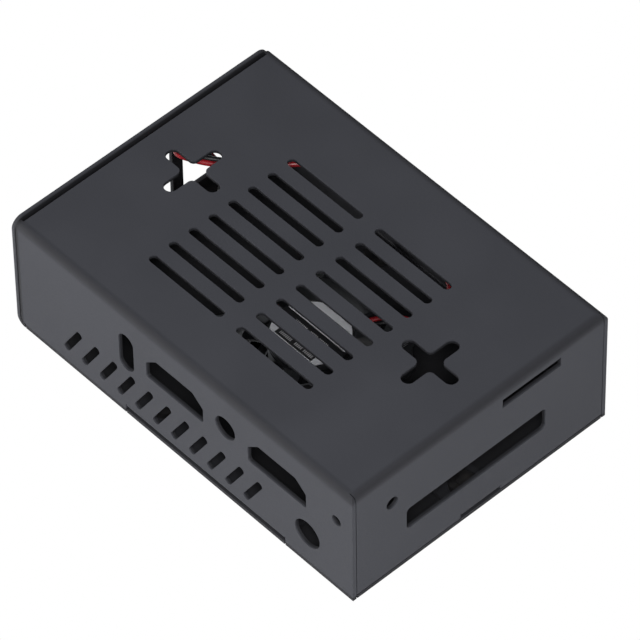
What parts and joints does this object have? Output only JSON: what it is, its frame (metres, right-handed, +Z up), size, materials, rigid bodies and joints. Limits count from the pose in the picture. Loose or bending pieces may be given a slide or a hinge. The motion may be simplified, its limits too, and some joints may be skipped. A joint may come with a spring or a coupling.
{
  "type": "single board computer case",
  "caption": "Black folded steel case for a single board computer, with slotted top, hanging holes, slanted side vents, port openings and a small fan inside on the cover",
  "frame": {"origin": "middle of the footprint, on the surface the case stands on", "axes": "X along the case, away from the open port end; Y towards the plain long wall; Z up"},
  "size_m": [0.0962, 0.0668, 0.03],
  "materials": {
    "black_coat": "fine matte black powder coat on folded sheet steel",
    "screw_steel": "black oxide steel",
    "zinc_nuts": "plated steel",
    "black_plastic": "moulded black plastic",
    "label_paper": "silver grey printed film label",
    "circuit_green": "green circuit board",
    "bright_steel": "bright steel",
    "magnet_black": "bonded rubber magnet",
    "bronze": "sintered bronze bearing",
    "bobbin_white": "off white plastic",
    "copper": "enamelled copper wire",
    "red_lead": "red insulation",
    "black_lead": "black insulation",
    "contact_metal": "tin plated brass"
  },
  "bodies": {
    "case": {"top_shell": "black_coat", "bottom_cover": "black_coat", "cover_screws": "screw_steel", "press_nuts": "screw_steel", "board_standoffs": "zinc_nuts", "fan_frame": "black_plastic", "fan_bearing": "bronze", "fan_stator_core": "bright_steel", "fan_bobbin": "bobbin_white", "fan_windings": "copper", "fan_circuit_board": "circuit_green", "fan_label": "label_paper", "fan_screws": "screw_steel", "fan_nuts": "zinc_nuts", "fan_lead_red": "red_lead", "fan_lead_black": "black_lead", "plug_housing": "black_plastic", "plug_contacts": "contact_metal"},
    "impeller": {"fan_impeller": "black_plastic", "fan_yoke": "bright_steel", "fan_magnet": "magnet_black", "fan_shaft": "bright_steel", "fan_retainer": "bobbin_white"}
  },
  "joints": [
    {"name": "fan_spin", "type": "hinge", "parent": "case", "child": "impeller", "pos_m": [0.0005, 0, 0.0059], "axis": [0, 0, 1], "continuous": true}
  ]
}
